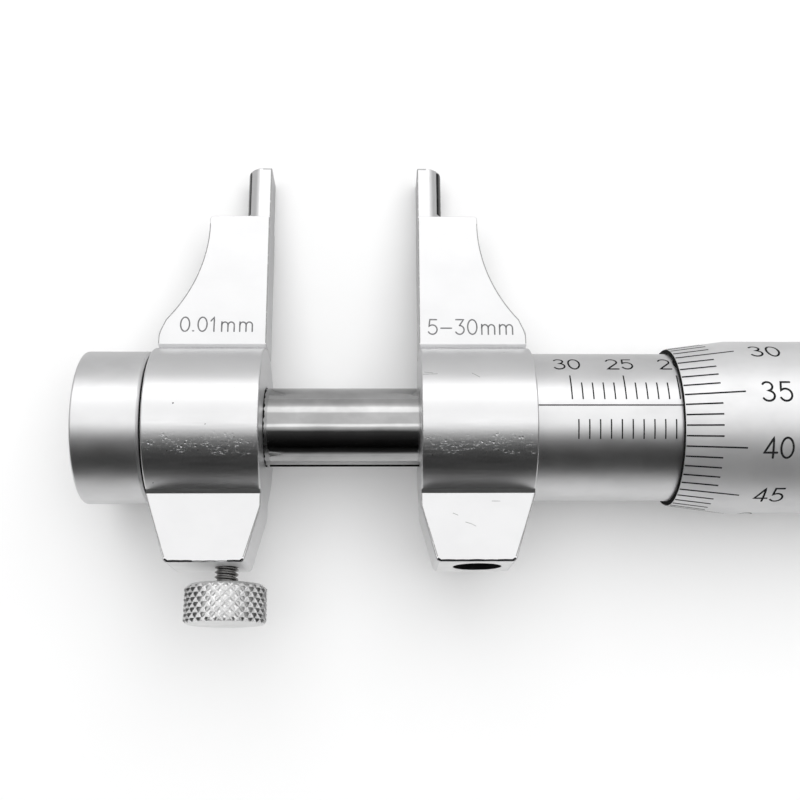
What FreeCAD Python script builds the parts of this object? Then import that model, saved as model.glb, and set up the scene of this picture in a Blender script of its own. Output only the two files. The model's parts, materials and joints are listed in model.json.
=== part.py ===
import FreeCAD, Part
import math
import os

from FreeCAD import Placement, Rotation, Vector

# Inside micrometer with caliper jaws, for inside widths from 5 mm to 30 mm.
# All lengths are in millimetres and all angles in degrees.
# The instrument is drawn about its own axis: X runs from the end cap to the ratchet,
# Y from the lugs to the blades, and Z out of the front of the jaws. X = 0 is the fixed
# jaw's inner face. What travels with the movable jaw is drawn with the jaws closed,
# and moved out by the opening. At the end the whole is rolled to lie on its two blades
# and its thimble, as it does on a table.

# Reading and scale
reading = 19.86
smallest_reading = 5.0
largest_reading = 30.0
first_mark_gap = 3.2
sleeve_overrun = 3.1

# Clearances, all radial unless they are named as gaps
seat_clearance = 0.02
running_clearance = 0.02
free_clearance = 0.10
end_gap = 0.05

# How far a cutter runs past what it cuts, and the size below which lengths count as nothing
cut_over = 1.0
tiny = 1e-6

# Jaws: hub, plate, blade and lug
hub_radius = 7.75
hub_length = 10.7
hub_chamfer = 0.15
plate_thickness = 5.2
plate_foot = 7.67
plate_width = 10.5
plate_edge_break = 0.1
shoulder_reach = 21.4
shoulder_width = 6.0
waist_radius = 15.5
waist_drop = 0.9
skirt_height = 1.3
jaw_reach = 27.1
blade_thickness = 4.0
blade_flat = 1.05
tip_width = 2.2
tip_depth = 1.0
tip_foot_gap = 0.8
lug_thickness = 6.8
lug_reach = 13.6
lug_inner_inset = 1.4
lug_outer_inset = 2.0
lug_straight = 0.7
lug_corner_radius = 0.5
lug_edge_break = 0.15

# Guide tube and its key
tube_radius = 3.83
tube_bore_radius = 2.65
tube_seat_inset = 3.2
keyway_width = 2.34
keyway_depth = 0.75
keyway_margin = 0.8
key_screw_radius = 2.3
key_screw_recess = 0.7
key_screw_length = 4.6
key_slot_width = 0.6
key_slot_depth = 0.7
tube_end_gap = 2.0

# Bearing in the movable jaw, and the end cap
bearing_step = 1.17
bearing_inset = 0.5
bush_length = 3.0
washer_thickness = 0.45
spring_washer_thickness = 0.3
spring_washer_height = 0.6
spring_washer_radius = 3.2
spigot_wall = 1.3
spigot_gap = 0.2
cap_radius = 7.4
cap_length = 6.05
cap_floor = 1.7
cap_gap = 0.5
cap_chamfer = 0.25

# Spindle
spindle_radius = 2.5
journal_radius = 1.75
end_thread_radius = 1.5
thread_radius = 3.2
thread_start_gap = 0.6
thread_overrun = 0.5
thread_relief = 0.4
taper_length = 8.0
taper_start_radius = 3.1
taper_end_radius = 2.7
spindle_nut_length = 2.0
spindle_nut_flats = 5.5
spindle_tip_proud = 0.5

# Sleeve, nut body and adjusting nut
sleeve_radius = 7.2
sleeve_bore_radius = 6.0
inner_sleeve_seat = 3.5
nut_length = 10.0
nut_stub_length = 4.0
nut_stub_step = 0.9
adjusting_nut_length = 3.4
adjusting_nut_radius = 6.9
adjusting_notch_depth = 1.0
slit_width = 0.6
slit_margin = 2.0
slit_count = 3

# Thimble
thimble_radius = 8.42
thimble_edge_radius = 7.65
thimble_cone_length = 5.75
thimble_head_length = 11.0
thimble_chamfer = 0.5
grip_length = 15.0
grip_margin = 2.0
grip_flutes = 40
flute_depth = 0.22

# Ratchet
flange_radius = 4.3
flange_length = 1.2
pilot_radius = 2.4
post_radius = 1.6
post_flats = 2.5
post_tap_radius = 0.92
ratchet_spring_length = 3.1
spring_wire_radius = 0.25
spring_coil_radius = 2.5
spring_turns = 2.5
clutch_radius = 3.7
clutch_thickness = 1.2
tooth_count = 12
tooth_height = 0.4
tooth_width = 0.75
tooth_inner_radius = 2.4
knob_radius = 4.9
knob_hub_length = 2.9
knob_lip = 2.4
knob_flutes = 20
knob_chamfer = 0.4
ratchet_washer_radius = 2.9
ratchet_washer_thickness = 0.3
ratchet_head_radius = 2.6
ratchet_head_length = 1.2
ratchet_shank_length = 5.0
ratchet_slot_width = 0.6
ratchet_slot_depth = 0.5
head_recess_clearance = 0.3

# Lock screw and pad
lock_offset = 3.35
lock_screw_radius = 1.1
lock_gap = 0.10
lock_pad_length = 2.7
lock_neck = 1.66
lock_knob_radius = 3.85
lock_knob_length = 3.6
lock_knob_shoulder = 0.45
lock_knob_chamfer = 0.25
lock_knurl_count = 26
lock_knurl_rows = 6
lock_knurl_depth = 0.2

# Places along the axis that several pieces share
tube_seat_length = hub_length - tube_seat_inset
travel = largest_reading - smallest_reading
opening = reading - smallest_reading
key_place = hub_length / 2
first_mark = hub_length + first_mark_gap
last_mark = first_mark + travel
sleeve_end = last_mark + sleeve_overrun
inner_sleeve_end = sleeve_end + nut_stub_length
nut_start = inner_sleeve_end - nut_length
tube_end = nut_start - tube_end_gap
thread_start = tube_end + thread_start_gap
thread_end = inner_sleeve_end + travel + thread_overrun
cavity_end = thread_end + thread_relief
taper_end = cavity_end + taper_length
thimble_end = cavity_end + thimble_head_length
flange_end = thimble_end + flange_length
spring_end = flange_end + 2 * end_gap + ratchet_spring_length
clutch_face = spring_end + end_gap + clutch_thickness
knob_hub_end = clutch_face + end_gap + knob_hub_length
post_end = knob_hub_end + end_gap
knob_end = knob_hub_end + knob_lip
bearing_step_place = -tube_seat_length - 2 * end_gap - washer_thickness - bearing_inset
bush_end = bearing_step_place - bush_length
nut_face = bush_end - 2 * end_gap - spring_washer_height
spindle_tip = nut_face - spindle_nut_length - spindle_tip_proud
cap_start = -hub_length - cap_gap - cap_length
cap_inside = cap_start + cap_floor

# Radii that follow from a fit
jaw_bore_radius = tube_radius + running_clearance
inner_sleeve_radius = sleeve_bore_radius - seat_clearance
bearing_radius = tube_radius + bearing_step
spigot_radius = bearing_radius + spigot_wall
nut_bore_radius = thread_radius + running_clearance
nut_stub_radius = inner_sleeve_radius - nut_stub_step
thimble_bore_radius = sleeve_radius + free_clearance
blade_width = smallest_reading / 2
dog_radius = keyway_width / 2 - running_clearance
dog_tip = tube_radius - keyway_depth + end_gap
pad_tip = spindle_radius + lock_gap
screw_tip = pad_tip + lock_pad_length + end_gap
lock_knob_top = lug_reach + lock_neck

# Resting roll: the blades' back edges come down to the level of the thimble's underside
blade_back = blade_thickness / 2
blade_corner = math.hypot(jaw_reach, blade_back)
rest_roll = math.degrees(
    math.asin(thimble_radius / blade_corner) - math.atan(blade_back / jaw_reach)
)

AXIS = Vector(1, 0, 0)
ORIGIN = Vector(0, 0, 0)


def turned(points):
    """A solid of revolution about X from (x, radius) corners."""
    corners = [Vector(x, radius, 0) for x, radius in points]
    face = Part.Face(Part.makePolygon(corners + corners[:1]))
    return face.revolve(ORIGIN, AXIS, 360)


def rod(start, end, radius):
    return Part.makeCylinder(radius, end - start, Vector(start, 0, 0), AXIS)


def ring(start, end, outer, inner):
    return rod(start, end, outer).cut(rod(start, end, inner))


def down_rod(x, top, bottom, radius):
    """A cylinder along -Y, between two distances below the axis."""
    return Part.makeCylinder(radius, bottom - top, Vector(x, -top, 0), Vector(0, -1, 0))


def block(x_low, x_high, y_low, y_high, z_low, z_high):
    size = (x_high - x_low, y_high - y_low, z_high - z_low)
    return Part.makeBox(*size, Vector(x_low, y_low, z_low))


def slab(outline, thickness):
    """An outline in the XY plane, made a plate that is centred on Z = 0."""
    face = Part.Face(Part.Wire(outline))
    face.translate(Vector(0, 0, -thickness / 2))
    return face.extrude(Vector(0, 0, thickness))


def line(start, end):
    return Part.makeLine(Vector(*start, 0), Vector(*end, 0))


def rim_edges(solid, height):
    """The edges of a slab that lie on its two faces."""
    rims = []
    for edge in solid.Edges:
        box = edge.BoundBox
        if box.ZLength < tiny and abs(abs(box.ZMin) - height) < tiny:
            rims.append(edge)
    return rims


def upright_edges(solid, x, y):
    """The edges of a slab that run along Z through a corner of its outline."""
    found = []
    for edge in solid.Edges:
        place = edge.CenterOfMass
        if math.hypot(place.x - x, place.y - y) < tiny and edge.BoundBox.ZLength > tiny:
            found.append(edge)
    return found


def flute_band(start, end, radius, depth, count, bore):
    """A ring with straight V flutes, as cut by a straight knurl."""
    corners = []
    for index in range(2 * count):
        reach = radius if index % 2 == 0 else radius - depth
        angle = math.pi * index / count
        corners.append(Vector(start, reach * math.cos(angle), reach * math.sin(angle)))
    face = Part.Face(Part.makePolygon(corners + corners[:1]))
    return face.extrude(Vector(end - start, 0, 0)).cut(rod(start, end, bore))


def diamond_band(start, end, radius, depth, count, rows):
    """A drum with a crossed knurl. Peaks and pits alternate round it and along it."""
    step = (end - start) / rows
    grid = []
    for row in range(rows + 1):
        circle = []
        for column in range(2 * count):
            reach = radius if (row + column) % 2 == 0 else radius - depth
            angle = math.pi * column / count
            place = Vector(start + row * step, reach * math.cos(angle), reach * math.sin(angle))
            circle.append(place)
        grid.append(circle)
    faces = []
    for row in range(rows):
        for column in range(2 * count):
            after = (column + 1) % (2 * count)
            near, far = grid[row][column], grid[row][after]
            over, across = grid[row + 1][column], grid[row + 1][after]
            if (row + column) % 2 == 0:
                triangles = ((near, far, over), (far, across, over))
            else:
                triangles = ((near, far, across), (near, across, over))
            for triangle in triangles:
                faces.append(Part.Face(Part.makePolygon(list(triangle) + [triangle[0]])))
    for circle in (grid[0], grid[-1]):
        faces.append(Part.Face(Part.makePolygon(circle + circle[:1])))
    return Part.makeSolid(Part.makeShell(faces))


# The two jaws share one form: X is the distance out from the inner face.

def jaw_plate():
    curve_top = shoulder_reach - waist_drop
    centre_x = shoulder_width + waist_radius
    skirt_top = plate_foot + skirt_height
    # The waist ends where it comes within the skirt's width, and the skirt rounds off below it
    waist_end_x = plate_width - skirt_height / 2
    waist_end_y = curve_top - math.sqrt(waist_radius**2 - (centre_x - waist_end_x) ** 2)
    turn = math.asin((curve_top - waist_end_y) / waist_radius) / 2
    waist_middle = Vector(
        centre_x - waist_radius * math.cos(turn), curve_top - waist_radius * math.sin(turn), 0
    )
    outline = [
        line((0, plate_foot), (0, shoulder_reach)),
        line((0, shoulder_reach), (shoulder_width, shoulder_reach)),
        line((shoulder_width, shoulder_reach), (shoulder_width, curve_top)),
        Part.Arc(
            Vector(shoulder_width, curve_top, 0), waist_middle, Vector(waist_end_x, waist_end_y, 0)
        ).toShape(),
        line((waist_end_x, waist_end_y), (plate_width, skirt_top)),
        line((plate_width, skirt_top), (plate_width, plate_foot)),
        line((plate_width, plate_foot), (0, plate_foot)),
    ]
    plate = slab(outline, plate_thickness)
    return plate.makeChamfer(plate_edge_break, rim_edges(plate, plate_thickness / 2))


def blade():
    """The narrow blade. Its measuring face is rounded, to touch a bore along one line."""
    half = blade_thickness / 2
    centre = (blade_width**2 - blade_flat**2 - half**2) / (2 * (blade_width - blade_flat))
    radius = blade_width - centre
    turn = math.asin(half / radius) / 2
    edges = [
        Part.makeLine(Vector(0, 0, -half), Vector(0, 0, half)),
        Part.makeLine(Vector(0, 0, half), Vector(blade_flat, 0, half)),
    ]
    crest = Vector(blade_width, 0, 0)
    for side in (1, -1):
        corner = Vector(blade_flat, 0, side * half)
        between = Vector(centre + radius * math.cos(turn), 0, side * radius * math.sin(turn))
        ends = (corner, crest) if side == 1 else (crest, corner)
        edges.append(Part.Arc(ends[0], between, ends[1]).toShape())
    edges.append(Part.makeLine(Vector(blade_flat, 0, -half), Vector(0, 0, -half)))
    root = shoulder_reach - blade_width
    face = Part.Face(Part.Wire(edges))
    face.translate(Vector(0, root, 0))
    return face.extrude(Vector(0, jaw_reach - root, 0))


def lug():
    bend = hub_radius + lug_straight
    inner, outer = lug_inner_inset, hub_length - lug_outer_inset
    corners = [
        (0, 0), (0, -bend), (inner, -lug_reach),
        (outer, -lug_reach), (hub_length, -hub_radius + lug_straight), (hub_length, 0),
    ]
    outline = [line(*ends) for ends in zip(corners, corners[1:] + corners[:1])]
    solid = slab(outline, lug_thickness)
    feet = upright_edges(solid, inner, -lug_reach) + upright_edges(solid, outer, -lug_reach)
    solid = solid.makeFillet(lug_corner_radius, feet)
    return solid.makeChamfer(lug_edge_break, rim_edges(solid, lug_thickness / 2))


def jaw_hub():
    chamfer = hub_chamfer
    return turned([
        (0, 0), (0, hub_radius - chamfer), (chamfer, hub_radius),
        (hub_length - chamfer, hub_radius), (hub_length, hub_radius - chamfer), (hub_length, 0),
    ])


def tip_bed():
    """The space in a blade's crest that its hard strip fills."""
    foot = shoulder_reach + tip_foot_gap
    return block(
        blade_width - tip_depth, blade_width + cut_over, foot, jaw_reach + cut_over,
        -tip_width / 2, tip_width / 2,
    )


def jaw():
    return jaw_hub().fuse([jaw_plate(), blade(), lug()]).removeSplitter()


def jaw_tip():
    return blade().common(tip_bed())


def closed_mirror(solid):
    """The same form on the other side of the closed jaws' meeting plane."""
    return solid.mirror(ORIGIN, AXIS)


# The fixed side

def fixed_jaw():
    seat = rod(hub_length - inner_sleeve_seat, hub_length + cut_over, sleeve_bore_radius)
    dog_top = lug_reach - key_screw_recess - key_screw_length
    cuts = [
        tip_bed(),
        rod(-cut_over, hub_length + cut_over, jaw_bore_radius),
        seat,
        down_rod(key_place, dog_top, lug_reach + cut_over, key_screw_radius + seat_clearance),
        down_rod(key_place, 0, lug_reach, dog_radius + seat_clearance),
    ]
    return jaw().cut(cuts)


def guide_key_screw():
    """A slotted screw whose round dog runs in the guide tube's keyway."""
    bottom = lug_reach - key_screw_recess
    top = bottom - key_screw_length + end_gap
    screw = down_rod(key_place, top, bottom, key_screw_radius)
    dog = down_rod(key_place, dog_tip, top + end_gap, dog_radius)
    reach = 2 * key_screw_radius
    slot = block(
        key_place - reach, key_place + reach, -bottom - cut_over, -bottom + key_slot_depth,
        -key_slot_width / 2, key_slot_width / 2,
    )
    return screw.fuse(dog).cut(slot)


def sleeve():
    return ring(hub_length, sleeve_end, sleeve_radius, sleeve_bore_radius)


def inner_sleeve():
    """The nut body: a long clearance bore, then the spindle's thread in a slit end."""
    start = hub_length - inner_sleeve_seat
    bore = tube_radius + free_clearance
    body = turned([
        (start, bore), (start, inner_sleeve_radius), (sleeve_end, inner_sleeve_radius),
        (sleeve_end, nut_stub_radius), (inner_sleeve_end, nut_stub_radius),
        (inner_sleeve_end, nut_bore_radius), (nut_start, nut_bore_radius), (nut_start, bore),
    ])
    slit = block(
        nut_start + slit_margin, inner_sleeve_end + cut_over,
        0, inner_sleeve_radius + cut_over, -slit_width / 2, slit_width / 2,
    )
    slits = []
    for index in range(slit_count):
        cutter = slit.copy()
        cutter.rotate(ORIGIN, AXIS, 360 * index / slit_count)
        slits.append(cutter)
    return body.cut(slits)


def adjusting_nut():
    start = sleeve_end + 2 * end_gap
    end = start + adjusting_nut_length
    nut = ring(start, end, adjusting_nut_radius, nut_stub_radius + seat_clearance)
    reach = adjusting_nut_radius + cut_over
    notch = block(
        end - adjusting_notch_depth, end + cut_over, -reach, reach, -slit_width, slit_width
    )
    return nut.cut(notch)


# The movable jaw and what is fixed in it

def movable_jaw():
    spigot_end = cap_inside + spigot_gap
    spigot = rod(spigot_end, -hub_length + cut_over, spigot_radius)
    cuts = [
        closed_mirror(tip_bed()),
        rod(bearing_step_place - cut_over, cut_over, tube_radius + seat_clearance),
        rod(spigot_end - cut_over, bearing_step_place, bearing_radius),
        down_rod(-lock_offset, 0, lug_reach + cut_over, lock_screw_radius + running_clearance),
    ]
    return closed_mirror(jaw()).fuse(spigot).cut(cuts)


def guide_tube():
    """The tube that the jaws slide on. Its keyway, from the movable jaw's face on, stops it turning."""
    tube = ring(-tube_seat_length, tube_end, tube_radius, tube_bore_radius)
    floor = tube_radius - keyway_depth
    keyway = block(
        0, key_place + travel + dog_radius + keyway_margin,
        -tube_radius - cut_over, -floor, -keyway_width / 2, keyway_width / 2,
    )
    hole_radius = lock_screw_radius + free_clearance
    pad_hole = down_rod(-lock_offset, 0, tube_radius + cut_over, hole_radius)
    return tube.cut([keyway, pad_hole])


def bearing_bush():
    return ring(
        bush_end, bearing_step_place, bearing_radius - seat_clearance,
        journal_radius + running_clearance,
    )


def thrust_washer():
    start = bearing_step_place + end_gap
    return ring(
        start, start + washer_thickness, tube_radius - free_clearance,
        journal_radius + running_clearance,
    )


def end_cap():
    end = cap_start + cap_length
    inside = spigot_radius + seat_clearance
    return turned([
        (cap_start, 0), (cap_start, cap_radius - cap_chamfer), (cap_start + cap_chamfer, cap_radius),
        (end - cap_chamfer, cap_radius), (end, cap_radius - cap_chamfer), (end, inside),
        (cap_inside, inside), (cap_inside, 0),
    ])


# The spindle and what turns with it

def spindle():
    shoulder = bearing_step_place + 2 * end_gap + washer_thickness
    body = turned([
        (spindle_tip, 0), (spindle_tip, end_thread_radius), (nut_face + end_gap, end_thread_radius),
        (nut_face + end_gap, journal_radius), (shoulder, journal_radius),
        (shoulder, spindle_radius), (thread_start, spindle_radius),
        (thread_start, thread_radius), (thread_end, thread_radius),
        (thread_end, taper_start_radius), (cavity_end, taper_start_radius),
        (taper_end, taper_end_radius), (taper_end, 0),
    ])
    hole_radius = end_thread_radius + seat_clearance
    return body.cut(rod(cavity_end - cut_over, taper_end + cut_over, hole_radius))


def spring_washer():
    """A conical washer that presses the nut away from the bush."""
    start = bush_end - end_gap
    end = start - spring_washer_height
    inner = journal_radius + running_clearance
    outer = spring_washer_radius
    return turned([
        (start, outer), (start - spring_washer_thickness, outer),
        (end, inner), (end + spring_washer_thickness, inner),
    ])


def spindle_nut():
    corners = []
    for index in range(7):
        angle = math.radians(60 * index)
        reach = spindle_nut_flats / 2 / math.cos(math.radians(30))
        corners.append(Vector(nut_face, reach * math.cos(angle), reach * math.sin(angle)))
    nut = Part.Face(Part.makePolygon(corners)).extrude(Vector(-spindle_nut_length, 0, 0))
    return nut.cut(rod(nut_face - spindle_nut_length, nut_face, end_thread_radius + seat_clearance))


def thimble():
    """The graduated cone, the fluted grip and the head with the taper seat."""
    hole = pilot_radius + seat_clearance
    body = turned([
        (last_mark, thimble_bore_radius), (last_mark, thimble_edge_radius),
        (last_mark + thimble_cone_length, thimble_radius),
        (thimble_end - thimble_chamfer, thimble_radius),
        (thimble_end, thimble_radius - thimble_chamfer), (thimble_end, hole), (taper_end, hole),
        (taper_end, taper_end_radius + seat_clearance),
        (cavity_end, taper_start_radius + seat_clearance), (cavity_end, thimble_bore_radius),
    ])
    grip_end = thimble_end - grip_margin
    grip_start = grip_end - grip_length
    bed = thimble_radius - 2 * flute_depth
    band = flute_band(grip_start, grip_end, thimble_radius, flute_depth, grip_flutes, bed)
    return body.cut(ring(grip_start, grip_end, thimble_radius + cut_over, bed)).fuse(band)


def ratchet_stem():
    """Clamps the thimble on its taper, and carries the clutch and the knob."""
    stem = turned([
        (cavity_end, 0), (cavity_end, end_thread_radius), (taper_end + end_gap, end_thread_radius),
        (taper_end + end_gap, pilot_radius), (thimble_end, pilot_radius),
        (thimble_end, flange_radius), (flange_end, flange_radius),
        (flange_end, post_radius), (post_end, post_radius), (post_end, 0),
    ])
    reach = 2 * post_radius
    half = post_flats / 2
    flats_end = clutch_face + end_gap
    flats = [
        block(flange_end, flats_end, half, reach, -reach, reach),
        block(flange_end, flats_end, -reach, -half, -reach, reach),
        rod(post_end - ratchet_shank_length - end_gap, post_end, post_tap_radius),
    ]
    return stem.cut(flats)


def ratchet_spring():
    """A coil of square wire."""
    start = flange_end + end_gap + spring_wire_radius
    height = ratchet_spring_length - 2 * spring_wire_radius
    path = Part.makeHelix(height / spring_turns, height, spring_coil_radius)
    half = spring_wire_radius
    corners = []
    for out, up in ((-half, -half), (half, -half), (half, half), (-half, half), (-half, -half)):
        corners.append(Vector(spring_coil_radius + out, 0, up))
    coil = Part.Wire(path.Edges).makePipeShell([Part.makePolygon(corners)], True, True)
    coil.rotate(ORIGIN, Vector(0, 1, 0), 90)
    coil.translate(Vector(start, 0, 0))
    return coil


def saw_teeth(start, height, width, inner, outer):
    """A ring of saw teeth on a face, each the same section from the inside out."""
    teeth = []
    for index in range(tooth_count):
        corners = [
            Vector(start, inner, 0), Vector(start + height, inner, 0), Vector(start, inner, width),
        ]
        face = Part.Face(Part.makePolygon(corners + corners[:1]))
        tooth = face.extrude(Vector(0, outer - inner, 0))
        tooth.rotate(ORIGIN, AXIS, 360 * index / tooth_count)
        teeth.append(tooth)
    return teeth


def ratchet_clutch():
    face = clutch_face
    disc = rod(spring_end + end_gap, face, clutch_radius)
    rim = rod(face, face + tooth_height, clutch_radius)
    teeth = []
    for tooth in saw_teeth(face, tooth_height, tooth_width, tooth_inner_radius, clutch_radius):
        teeth.append(tooth.common(rim))
    reach = 2 * post_radius
    half = post_flats / 2 + end_gap
    hole = rod(spring_end, face, post_radius + end_gap)
    hole = hole.common(block(spring_end, face, -half, half, -reach, reach))
    return disc.fuse(teeth).cut(hole)


def ratchet_knob():
    start = flange_end + 4 * end_gap
    inside = clutch_radius + 2 * free_clearance
    face = clutch_face + end_gap
    recess = ratchet_washer_radius + head_recess_clearance
    chamfer = knob_chamfer
    body = turned([
        (start, inside), (start, knob_radius - chamfer), (start + chamfer, knob_radius),
        (knob_end - chamfer, knob_radius), (knob_end, knob_radius - chamfer),
        (knob_end, recess), (knob_hub_end, recess),
        (knob_hub_end, post_radius + running_clearance),
        (face, post_radius + running_clearance), (face, inside),
    ])
    band_start, band_end = start + 2 * chamfer, knob_end - 2 * chamfer
    bed = knob_radius - 2 * flute_depth
    band = flute_band(band_start, band_end, knob_radius, flute_depth, knob_flutes, bed)
    body = body.cut(ring(band_start, band_end, knob_radius + cut_over, bed)).fuse(band)
    sockets = saw_teeth(
        clutch_face, tooth_height + 2 * end_gap, tooth_width + 3 * end_gap,
        tooth_inner_radius - 2 * end_gap, clutch_radius + end_gap,
    )
    for socket in sockets:
        socket.rotate(ORIGIN, AXIS, -math.degrees(end_gap / tooth_inner_radius))
    return body.cut(sockets)


def ratchet_washer():
    return ring(
        post_end, post_end + ratchet_washer_thickness, ratchet_washer_radius,
        post_tap_radius + seat_clearance,
    )


def ratchet_screw():
    head_start = post_end + ratchet_washer_thickness
    head_end = head_start + ratchet_head_length
    shank_radius = post_tap_radius - seat_clearance
    shank_end = post_end - ratchet_shank_length
    screw = rod(head_start, head_end, ratchet_head_radius).fuse(
        rod(shank_end, head_start, shank_radius)
    )
    reach = 2 * ratchet_head_radius
    half = ratchet_slot_width / 2
    slot = block(head_end - ratchet_slot_depth, head_end + cut_over, -reach, reach, -half, half)
    return screw.cut(slot)


# The lock

def lock_pad():
    """A short pin with a hollow end that fits round the spindle."""
    pad = down_rod(-lock_offset, 0, pad_tip + lock_pad_length, lock_screw_radius - seat_clearance)
    reach = 2 * lock_screw_radius
    return pad.cut(rod(-lock_offset - reach, -lock_offset + reach, pad_tip))


def lock_screw():
    top = lock_knob_top
    bottom = top + lock_knob_length
    band_start = top + lock_knob_shoulder
    band_end = bottom - lock_knob_chamfer
    core = lock_knob_radius - lock_knurl_depth - 2 * end_gap
    body = turned([
        (screw_tip, 0), (screw_tip, lock_screw_radius), (top, lock_screw_radius),
        (top, core - lock_knob_shoulder), (band_start, core), (band_end, core),
        (bottom, core - lock_knob_chamfer), (bottom, 0),
    ])
    band = diamond_band(
        band_start, band_end, lock_knob_radius, lock_knurl_depth, lock_knurl_count, lock_knurl_rows
    )
    screw = body.fuse(band)
    screw.rotate(ORIGIN, Vector(0, 0, 1), -90)
    screw.translate(Vector(-lock_offset, 0, 0))
    return screw


# Pieces by name: those of the fixed side, and those that travel with the movable jaw
fixed_side = {
    "fixed_jaw": fixed_jaw(),
    "fixed_jaw_tip": jaw_tip(),
    "guide_key_screw": guide_key_screw(),
    "sleeve": sleeve(),
    "inner_sleeve": inner_sleeve(),
    "adjusting_nut": adjusting_nut(),
}
travelling = {
    "movable_jaw": movable_jaw(),
    "movable_jaw_tip": closed_mirror(jaw_tip()),
    "guide_tube": guide_tube(),
    "bearing_bush": bearing_bush(),
    "thrust_washer": thrust_washer(),
    "end_cap": end_cap(),
    "spindle": spindle(),
    "spring_washer": spring_washer(),
    "spindle_nut": spindle_nut(),
    "thimble": thimble(),
    "ratchet_stem": ratchet_stem(),
    "ratchet_spring": ratchet_spring(),
    "ratchet_clutch": ratchet_clutch(),
    "ratchet_knob": ratchet_knob(),
    "ratchet_washer": ratchet_washer(),
    "ratchet_screw": ratchet_screw(),
    "lock_pad": lock_pad(),
    "lock_screw": lock_screw(),
}
for solid in travelling.values():
    solid.translate(Vector(-opening, 0, 0))
pieces = {**fixed_side, **travelling}

# At rest the front of the jaws faces up, and the blades' tips are rolled down to the table.
# The origin is on the table, under the middle of the whole.
roll = Placement(ORIGIN, Rotation(AXIS, -rest_roll))
for solid in pieces.values():
    solid.Placement = roll.multiply(solid.Placement)
whole = Part.makeCompound(list(pieces.values())).optimalBoundingBox(False, False)
to_table = Vector(-whole.Center.x, -whole.Center.y, -whole.ZMin)
print("instrument origin in the row frame:", tuple(round(value, 4) for value in to_table))
print("rest roll:", round(rest_roll, 4))

os.makedirs("parts", exist_ok=True)
for name, solid in pieces.items():
    solid.translate(to_table)
    solid.exportStep(f"parts/{name}.step")
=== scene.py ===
import json
import math

import bmesh
import bpy
from mathutils import Matrix, Vector


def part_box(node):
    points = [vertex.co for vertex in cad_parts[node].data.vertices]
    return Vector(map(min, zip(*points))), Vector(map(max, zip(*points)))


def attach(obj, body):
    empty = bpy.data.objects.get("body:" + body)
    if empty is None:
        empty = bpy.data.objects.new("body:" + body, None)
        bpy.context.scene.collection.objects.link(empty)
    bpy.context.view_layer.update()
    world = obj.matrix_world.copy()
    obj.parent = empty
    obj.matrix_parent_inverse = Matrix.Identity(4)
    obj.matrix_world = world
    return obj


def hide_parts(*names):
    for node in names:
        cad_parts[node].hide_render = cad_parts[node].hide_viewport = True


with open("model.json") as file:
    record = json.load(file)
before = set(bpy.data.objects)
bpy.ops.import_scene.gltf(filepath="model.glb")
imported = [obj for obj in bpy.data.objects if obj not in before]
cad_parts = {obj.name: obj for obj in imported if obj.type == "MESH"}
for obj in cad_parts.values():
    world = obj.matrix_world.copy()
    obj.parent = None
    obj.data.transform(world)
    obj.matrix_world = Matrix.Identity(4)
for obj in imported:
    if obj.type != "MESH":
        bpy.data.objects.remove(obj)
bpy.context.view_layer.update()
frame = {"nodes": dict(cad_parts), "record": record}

# Sizes in millimetres, in the instrument's own frame: X runs along its axis from the fixed
# jaw's inner face to the ratchet, Y from the lugs to the blades, Z out of the jaws' front.
MM = 0.001

# Jaws
hub_radius = 7.75
hub_length = 10.7
hub_edge = 0.18
bore_radius = 3.85
bore_mouth = 0.15
plate_front = 2.6
plate_foot = 7.67
plate_width = 10.5
plate_edge = 0.12
shoulder_reach = 21.4
shoulder_width = 6.0
waist_radius = 15.5
waist_drop = 0.9
skirt_height = 1.3
jaw_reach = 27.1
blade_thickness = 4.0
blade_width = 2.5
blade_flat = 1.05
blade_edge = 0.12
tip_width = 2.2
tip_depth = 1.0
tip_foot_gap = 0.8
lug_thickness = 6.8
lug_reach = 13.6
lug_inner_inset = 1.4
lug_outer_inset = 2.0
lug_straight = 0.7
lug_corner_radius = 0.5
lug_edge = 0.15
spigot_radius = 6.3
spigot_gap = 1.9
key_screw_radius = 2.3
key_screw_recess = 0.7
key_screw_length = 4.6
key_slot_width = 0.6
key_slot_depth = 0.7

# Tube, cap, sleeve and thimble
tube_radius = 3.83
tube_bore_radius = 2.65
keyway_width = 2.34
keyway_depth = 0.75
keyway_margin = 0.8
dog_radius = 1.15
cap_radius = 7.4
cap_floor = 1.7
cap_edge = 0.25
cap_rim_drop = 0.16
cap_bore_radius = 6.32
sleeve_radius = 7.2
sleeve_bore_radius = 6.0
thimble_radius = 8.42
thimble_edge_radius = 7.65
thimble_cone_length = 5.75
thimble_mouth_radius = 7.57
thimble_mouth_length = 0.5
thimble_bore_radius = 7.3
thimble_head_length = 11.0
thimble_hole_radius = 2.42
thimble_edge = 0.5
thimble_wear = 0.12
grip_length = 15.0
grip_margin = 2.0
grip_flutes = 40
flute_depth = 0.22
points_per_flute = 6
band_overlap = 0.05

# Ratchet knob and its screw
knob_radius = 4.9
knob_edge = 0.4
knob_flutes = 20
knob_lip = 2.4
knob_bore_radius = 1.62
knob_inside_radius = 3.9
knob_recess_radius = 3.2
knob_hub_length = 2.9
screw_head_radius = 2.6
screw_head_length = 1.2
screw_slot_width = 0.6
screw_slot_depth = 0.5
screw_shank_radius = 0.9

# Lock screw
lock_offset = 3.35
lock_screw_radius = 1.1
lock_thread_pitch = 0.45
lock_thread_depth = 0.22
lock_screw_tip = 5.35
lock_neck = 1.66
lock_knob_radius = 3.85
lock_knob_length = 3.6
lock_knob_shoulder = 0.45
lock_knob_edge = 0.25
lock_knurl_count = 26
lock_knurl_depth = 0.27
lock_knurl_top = 0.3

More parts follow.
